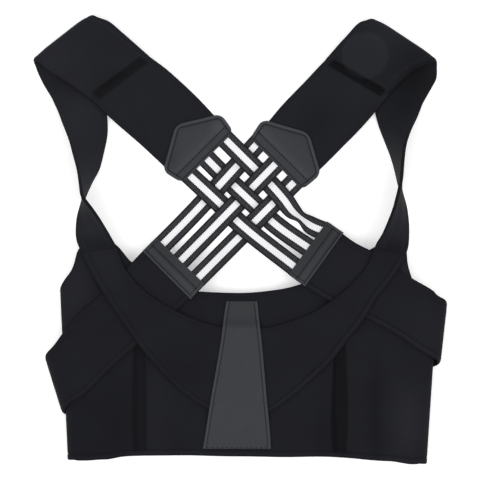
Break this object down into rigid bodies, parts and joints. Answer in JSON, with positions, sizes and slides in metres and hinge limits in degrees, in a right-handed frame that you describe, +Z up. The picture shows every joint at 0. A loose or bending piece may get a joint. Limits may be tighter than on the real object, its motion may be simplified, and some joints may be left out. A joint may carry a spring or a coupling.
{
  "type": "posture corrector",
  "caption": "Cloth back brace lying flat: waist band, padded shoulder straps, plaited elastic bands and leather patches.",
  "frame": {"origin": "on the floor, under the middle of the outline as it lies", "axes": "+Z up from the floor, +Y from the hem towards the shoulders, +X to the right in the picture"},
  "size_m": [0.4564, 0.495, 0.0461],
  "materials": {
    "cloth": "matt black knitted cloth",
    "pad_cloth": "matt black knitted cloth over thin foam",
    "leather": "grained dark grey leather",
    "elastic": "woven elastic, black with a white stripe"
  },
  "bodies": {
    "root": {"waist_band": "cloth", "front_fastener": "cloth", "wrap_strap_left": "cloth", "wrap_strap_right": "cloth", "yoke_left": "cloth", "yoke_right": "cloth", "stay_casing_left": "cloth", "stay_casing_right": "cloth", "shoulder_strap_left": "pad_cloth", "shoulder_strap_right": "pad_cloth", "back_strap_left": "pad_cloth", "back_strap_right": "pad_cloth", "centre_patch": "leather", "cross_patch_left": "leather", "cross_patch_right": "leather", "strap_tip_left": "leather", "strap_tip_right": "leather", "elastic_falling_1": "elastic", "elastic_falling_2": "elastic", "elastic_falling_3": "elastic", "elastic_rising_1": "elastic", "elastic_rising_2": "elastic", "elastic_rising_3": "elastic"}
  },
  "joints": []
}
